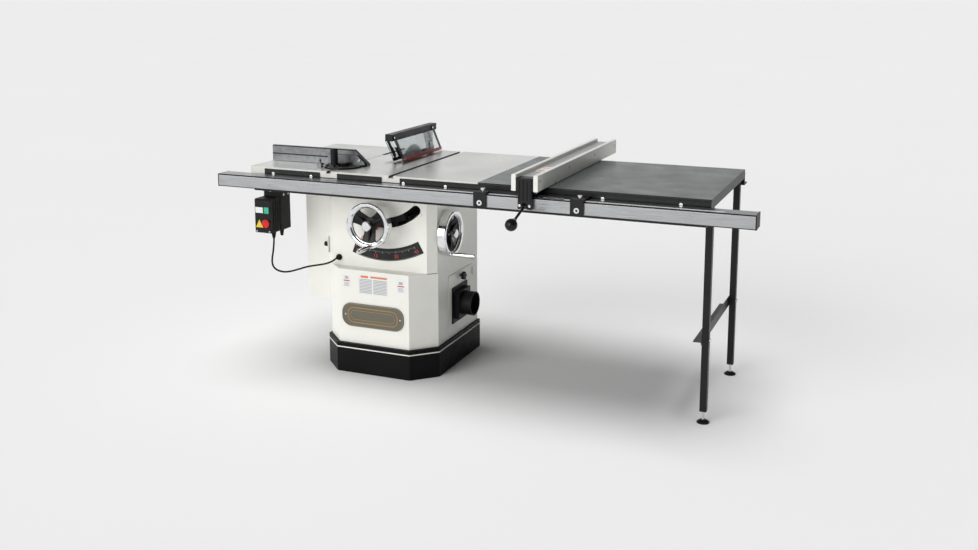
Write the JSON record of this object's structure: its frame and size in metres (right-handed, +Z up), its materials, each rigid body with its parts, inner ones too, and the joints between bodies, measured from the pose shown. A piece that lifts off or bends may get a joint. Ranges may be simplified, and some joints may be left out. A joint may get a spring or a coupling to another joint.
{
  "type": "table saw",
  "caption": "Cabinet table saw with cast wings, long extension table on legs, rip fence on a tube rail, mitre gauge, blade guard and two handwheels.",
  "frame": {"origin": "on the floor at the centre of the plinth's underside", "axes": "+X to the operator's right along the rail, +Y away from the operator along the feed, +Z up"},
  "size_m": [2.168, 1.1591, 0.992],
  "materials": {
    "cream_paint": "satin off-white powder coat",
    "black_paint": "semi-gloss black",
    "ground_iron": "ground flat",
    "dark_casting": "painted casting",
    "rail_steel": "brushed along its length",
    "bright_steel": "turned",
    "chrome": "polished",
    "laminate": "fine textured",
    "black_plastic": "moulded",
    "rubber": "moulded",
    "fence_board": "satin laminate",
    "clear_plastic": "clear",
    "aluminium": "drawn",
    "motor_paint": "enamel",
    "green_plastic": "moulded",
    "red_plastic": "moulded",
    "red_paint": "gloss",
    "plate_metal": "printed plate"
  },
  "bodies": {
    "frame": {"plinth": "black_paint", "cabinet_shell": "cream_paint", "main_table": "ground_iron", "table_wings": "ground_iron", "table_insert": "aluminium", "extension_table": "laminate", "rail_angles": "black_paint", "front_rail_tube": "rail_steel", "rail_end_caps": "black_plastic", "machine_screws": "bright_steel", "leg_frame": "black_paint", "trunnion_brackets": "dark_casting", "panel_plates": "plate_metal", "switch_box": "black_plastic", "switch_bracket": "black_paint", "cable_glands": "rubber", "switch_cord": "rubber"},
    "tilting_assembly": {"tilt_trunnion": "dark_casting", "tilt_pointer": "red_paint", "splitter": "bright_steel", "guard_bar": "black_paint"},
    "pawls": {"kickback_pawls": "bright_steel"},
    "left_front_link": {"left_link_front": "black_paint"},
    "left_rear_link": {"left_link_rear": "black_paint"},
    "left_guard_shield": {"left_shield": "clear_plastic"},
    "right_front_link": {"right_link_front": "black_paint"},
    "right_rear_link": {"right_link_rear": "black_paint"},
    "right_guard_shield": {"right_shield": "clear_plastic"},
    "arm": {"arbor_arm": "dark_casting", "motor": "motor_paint", "drive_belts": "rubber"},
    "arbor": {"arbor_shaft": "bright_steel", "saw_blade": "bright_steel"},
    "motor_rotor": {"motor_pulley": "dark_casting"},
    "elevation_wheel": {"elevation_handwheel": "chrome", "elevation_shaft": "bright_steel"},
    "elevation_wheel_grip": {"elevation_grip": "chrome"},
    "elevation_lock": {"elevation_lock_knob": "chrome"},
    "tilt_wheel": {"tilt_handwheel": "chrome", "tilt_shaft": "bright_steel"},
    "tilt_wheel_grip": {"tilt_grip": "chrome"},
    "tilt_lock": {"tilt_lock_knob": "chrome"},
    "motor_door": {"motor_cover": "cream_paint"},
    "motor_door_knob": {"motor_cover_knob": "black_plastic"},
    "cleanout_door": {"dust_door": "cream_paint", "dust_port": "black_plastic"},
    "cleanout_knob": {"dust_door_knob": "black_plastic"},
    "start_button": {"start_button": "green_plastic"},
    "stop_button": {"stop_button": "red_plastic"},
    "fence": {"fence_t_square": "black_paint", "fence_faces": "fence_board", "rail_glides": "black_plastic", "cursor_lens": "clear_plastic"},
    "fence_cam_lever": {"fence_lever": "black_plastic"},
    "mitre_slide_bar": {"mitre_bar": "bright_steel"},
    "mitre_gauge_head": {"mitre_head": "black_paint", "mitre_fence": "aluminium"},
    "mitre_clamp_handle": {"mitre_handle": "black_plastic"},
    "front_foot": {"foot_front": "black_paint"},
    "rear_foot": {"foot_rear": "black_paint"}
  },
  "joints": [
    {"name": "tilt_wheel_turn", "type": "hinge", "parent": "frame", "child": "tilt_wheel", "pos_m": [0.29, -0.0849, 0.592], "axis": [-1, 0, 0], "range_deg": [0, 5760]},
    {"name": "blade_tilt", "type": "hinge", "parent": "frame", "child": "tilting_assembly", "pos_m": [0.016, 0, 0.8636], "axis": [0, -1, 0], "range_deg": [0, 45]},
    {"name": "tilt_grip_spin", "type": "hinge", "parent": "tilt_wheel", "child": "tilt_wheel_grip", "pos_m": [0.35, -0.10975, 0.51071], "axis": [1, 0, 0], "continuous": true},
    {"name": "tilt_lock_turn", "type": "hinge", "parent": "tilt_wheel", "child": "tilt_lock", "pos_m": [0.3, -0.0849, 0.592], "axis": [1, 0, 0], "range_deg": [0, 360]},
    {"name": "elevation_wheel_turn", "type": "hinge", "parent": "tilting_assembly", "child": "elevation_wheel", "pos_m": [0, -0.2929, 0.641], "axis": [0, 1, 0], "range_deg": [-1391.5, 357.5]},
    {"name": "blade_raise", "type": "hinge", "parent": "tilting_assembly", "child": "arm", "pos_m": [-0.08, -0.0429, 0.759], "axis": [1, 0, 0], "range_deg": [-25.3, 6.5]},
    {"name": "elevation_grip_spin", "type": "hinge", "parent": "elevation_wheel", "child": "elevation_wheel_grip", "pos_m": [0.0133, -0.3429, 0.55705], "axis": [0, 1, 0], "continuous": true},
    {"name": "elevation_lock_turn", "type": "hinge", "parent": "elevation_wheel", "child": "elevation_lock", "pos_m": [0, -0.3129, 0.641], "axis": [0, 1, 0], "range_deg": [0, 360]},
    {"name": "arbor_spin", "type": "hinge", "parent": "arm", "child": "arbor", "pos_m": [0, 0.0971, 0.797], "axis": [1, 0, 0], "continuous": true},
    {"name": "motor_spin", "type": "hinge", "parent": "arm", "child": "motor_rotor", "pos_m": [-0.2, 0.0501, 0.605], "axis": [1, 0, 0], "continuous": true},
    {"name": "pawl_swing", "type": "hinge", "parent": "tilting_assembly", "child": "pawls", "pos_m": [0.016, 0.2651, 0.905], "axis": [1, 0, 0], "range_deg": [0, 60]},
    {"name": "left_link_front_swing", "type": "hinge", "parent": "tilting_assembly", "child": "left_front_link", "pos_m": [-0.002, -0.1049, 0.978], "axis": [1, 0, 0], "range_deg": [0, 16.1]},
    {"name": "left_link_rear_swing", "type": "hinge", "parent": "tilting_assembly", "child": "left_rear_link", "pos_m": [-0.002, 0.2611, 0.978], "axis": [1, 0, 0], "range_deg": [0, 16.1]},
    {"name": "left_shield_lift", "type": "hinge", "parent": "left_front_link", "child": "left_guard_shield", "pos_m": [-0.002, -0.0249, 0.876], "axis": [1, 0, 0], "range_deg": [-16.1, 0]},
    {"name": "right_link_front_swing", "type": "hinge", "parent": "tilting_assembly", "child": "right_front_link", "pos_m": [0.034, -0.1049, 0.978], "axis": [1, 0, 0], "range_deg": [0, 30]},
    {"name": "right_link_rear_swing", "type": "hinge", "parent": "tilting_assembly", "child": "right_rear_link", "pos_m": [0.034, 0.2611, 0.978], "axis": [1, 0, 0], "range_deg": [0, 30.1]},
    {"name": "right_shield_lift", "type": "hinge", "parent": "right_front_link", "child": "right_guard_shield", "pos_m": [0.034, -0.0249, 0.876], "axis": [1, 0, 0], "range_deg": [-30.1, 0]},
    {"name": "motor_cover_open", "type": "hinge", "parent": "frame", "child": "motor_door", "pos_m": [-0.2565, 0.1666, 0.54], "axis": [0, 0, -1], "range_deg": [0, 85]},
    {"name": "motor_cover_latch", "type": "hinge", "parent": "motor_door", "child": "motor_door_knob", "pos_m": [-0.26, -0.1599, 0.515], "axis": [1, 0, 0], "range_deg": [0, 90]},
    {"name": "cleanout_door_open", "type": "hinge", "parent": "frame", "child": "cleanout_door", "pos_m": [0.2565, 0.1861, 0.28], "axis": [0, 0, 1], "range_deg": [0, 110]},
    {"name": "cleanout_knob_turn", "type": "hinge", "parent": "cleanout_door", "child": "cleanout_knob", "pos_m": [0.26, 0.0611, 0.375], "axis": [1, 0, 0], "range_deg": [0, 90]},
    {"name": "start_press", "type": "slide", "parent": "frame", "child": "start_button", "axis": [0, 1, 0], "range_m": [0, 0.003], "stiffness_N_per_m": 400, "springref_m": -0.001},
    {"name": "stop_press", "type": "slide", "parent": "frame", "child": "stop_button", "axis": [0, 1, 0], "range_m": [0, 0.005], "stiffness_N_per_m": 400, "springref_m": -0.001},
    {"name": "fence_slide", "type": "slide", "parent": "frame", "child": "fence", "axis": [1, 0, 0], "range_m": [-0.64, 0.59]},
    {"name": "fence_lever_lift", "type": "hinge", "parent": "fence", "child": "fence_cam_lever", "pos_m": [0.738, -0.4479, 0.807], "axis": [-1, 0, 0], "range_deg": [0, 60]},
    {"name": "mitre_slide", "type": "slide", "parent": "frame", "child": "mitre_slide_bar", "axis": [0, 1, 0], "range_m": [-0.25, 0.4]},
    {"name": "mitre_swivel", "type": "hinge", "parent": "mitre_slide_bar", "child": "mitre_gauge_head", "pos_m": [-0.1397, -0.2249, 0.87], "axis": [0, 0, 1], "range_deg": [-60, 60]},
    {"name": "mitre_handle_turn", "type": "hinge", "parent": "mitre_gauge_head", "child": "mitre_clamp_handle", "pos_m": [-0.1547, -0.2709, 0.9], "axis": [0, 0, 1], "range_deg": [0, 360]},
    {"name": "front_foot_turn", "type": "hinge", "parent": "frame", "child": "front_foot", "pos_m": [1.366, -0.2299, 0.03], "axis": [0, 0, 1], "continuous": true},
    {"name": "rear_foot_turn", "type": "hinge", "parent": "frame", "child": "rear_foot", "pos_m": [1.366, 0.3221, 0.03], "axis": [0, 0, 1], "continuous": true}
  ],
  "couplings": [
    {"joint": "blade_tilt", "follows": "tilt_wheel_turn", "ratio": 0.0078125},
    {"joint": "left_link_front_swing", "follows": "tilt_wheel_turn", "ratio": 0.0027778},
    {"joint": "left_link_rear_swing", "follows": "tilt_wheel_turn", "ratio": 0.0027778},
    {"joint": "left_shield_lift", "follows": "tilt_wheel_turn", "ratio": -0.0027778},
    {"joint": "blade_raise", "follows": "elevation_wheel_turn", "ratio": 0.018182},
    {"joint": "motor_spin", "follows": "arbor_spin", "ratio": 0.81281},
    {"joint": "right_link_rear_swing", "follows": "right_link_front_swing", "ratio": 1},
    {"joint": "right_shield_lift", "follows": "right_link_front_swing", "ratio": -1}
  ]
}
